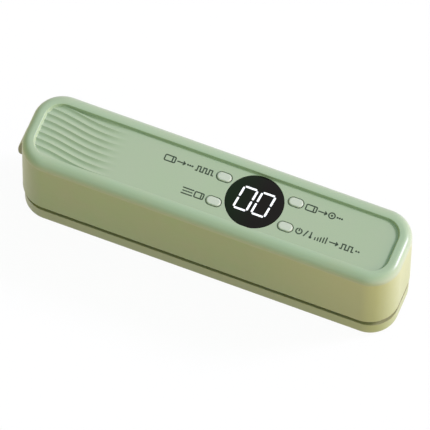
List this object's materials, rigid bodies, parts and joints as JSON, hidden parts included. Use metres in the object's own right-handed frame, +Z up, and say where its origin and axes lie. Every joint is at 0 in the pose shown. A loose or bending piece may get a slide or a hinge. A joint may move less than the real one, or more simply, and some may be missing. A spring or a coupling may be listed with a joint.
{
  "type": "handheld vacuum sealer",
  "caption": "Cordless bar-shaped vacuum sealer with a recessed top panel, round two-digit display, pill buttons, wavy thumb grip, hinged lower jaw and end latch.",
  "frame": {"origin": "on the plane under the feet, below the middle of the whole length with the latch lip", "axes": "+X along the bar to the hinge end at the right, +Y to the back, +Z up"},
  "size_m": [0.2244, 0.048, 0.065],
  "materials": {
    "shell_green": "satin moulded plastic",
    "panel_green": "satin moulded plastic",
    "cover_green": "satin moulded plastic",
    "smoked_lens": "polished smoked acrylic",
    "digit_white": "white light guide",
    "button_pale": "satin pale plastic",
    "black_plastic": "moulded black plastic",
    "circuit_board": "solder mask",
    "grey_nylon": "moulded nylon",
    "grey_silicone": "silicone",
    "black_rubber": "moulded rubber",
    "brown_tape": "coated glass cloth tape",
    "cell_sleeve": "shrink sleeve over a steel cell",
    "motor_can": "plated can",
    "brass": "turned brass",
    "spring_steel": "spring steel",
    "red_lead": "insulated wire",
    "black_lead": "insulated wire",
    "white_lead": "insulated wire",
    "bright_steel": "bright steel"
  },
  "bodies": {
    "housing": {"upper_shell": "shell_green", "control_panel": "panel_green", "display_lens": "smoked_lens", "display_module": "digit_white", "switch_pulse": "black_plastic", "switch_seal": "black_plastic", "switch_vacuum": "black_plastic", "switch_power": "black_plastic", "heater_bar": "black_plastic", "pump_head": "black_plastic", "suction_nozzle": "black_plastic", "control_board": "circuit_board", "charge_board": "circuit_board", "chassis": "grey_nylon", "upper_gasket": "grey_silicone", "suction_hose": "grey_silicone", "heater_tape": "brown_tape", "battery_cell": "cell_sleeve", "pump_motor": "motor_can", "latch_spring": "spring_steel", "motor_lead_red": "red_lead", "cell_lead_plus": "red_lead", "charge_lead": "red_lead", "motor_lead_black": "black_lead", "cell_lead_minus": "black_lead", "heater_lead_left": "white_lead", "heater_lead_right": "white_lead", "board_screw_1": "bright_steel", "board_screw_2": "bright_steel", "chassis_screw_1": "bright_steel", "chassis_screw_2": "bright_steel", "chassis_screw_3": "bright_steel", "chassis_screw_4": "bright_steel", "hinge_pin": "bright_steel", "latch_pin": "bright_steel", "charge_socket": "bright_steel", "heating_strip": "bright_steel"},
    "jaw": {"jaw_cover": "cover_green", "jaw_deck": "grey_nylon", "lower_gasket": "grey_silicone", "press_strip": "black_rubber", "strike_plate": "bright_steel", "jaw_screw_1": "bright_steel", "jaw_screw_2": "bright_steel", "jaw_screw_3": "bright_steel", "jaw_screw_4": "bright_steel", "foot_1": "black_rubber", "foot_2": "black_rubber", "foot_3": "black_rubber", "foot_4": "black_rubber"},
    "latch": {"latch_lever": "cover_green"},
    "pulse_key": {"button_pulse": "button_pale"},
    "seal_key": {"button_seal": "button_pale"},
    "vacuum_key": {"button_vacuum": "button_pale"},
    "power_key": {"button_power": "button_pale"},
    "pump_rotor": {"pump_crank": "brass"}
  },
  "joints": [
    {"name": "jaw_hinge", "type": "hinge", "parent": "housing", "child": "jaw", "pos_m": [0.1067, 0, 0.0148], "axis": [0, -1, 0], "range_deg": [0, 45]},
    {"name": "latch_pivot", "type": "hinge", "parent": "housing", "child": "latch", "pos_m": [-0.1043, 0, 0.049], "axis": [0, 1, 0], "range_deg": [0, 6], "stiffness_Nm_per_rad": 0.15, "springref_deg": -5.73},
    {"name": "pulse_press", "type": "slide", "parent": "housing", "child": "pulse_key", "axis": [0, 0, -1], "range_m": [0, 0.0006], "stiffness_N_per_m": 400, "springref_m": -0.0008},
    {"name": "seal_press", "type": "slide", "parent": "housing", "child": "seal_key", "axis": [0, 0, -1], "range_m": [0, 0.0006], "stiffness_N_per_m": 400, "springref_m": -0.0008},
    {"name": "vacuum_press", "type": "slide", "parent": "housing", "child": "vacuum_key", "axis": [0, 0, -1], "range_m": [0, 0.0006], "stiffness_N_per_m": 400, "springref_m": -0.0008},
    {"name": "power_press", "type": "slide", "parent": "housing", "child": "power_key", "axis": [0, 0, -1], "range_m": [0, 0.0006], "stiffness_N_per_m": 400, "springref_m": -0.0008},
    {"name": "pump_spin", "type": "hinge", "parent": "housing", "child": "pump_rotor", "pos_m": [0.0568, 0, 0.034], "axis": [1, 0, 0], "continuous": true}
  ]
}
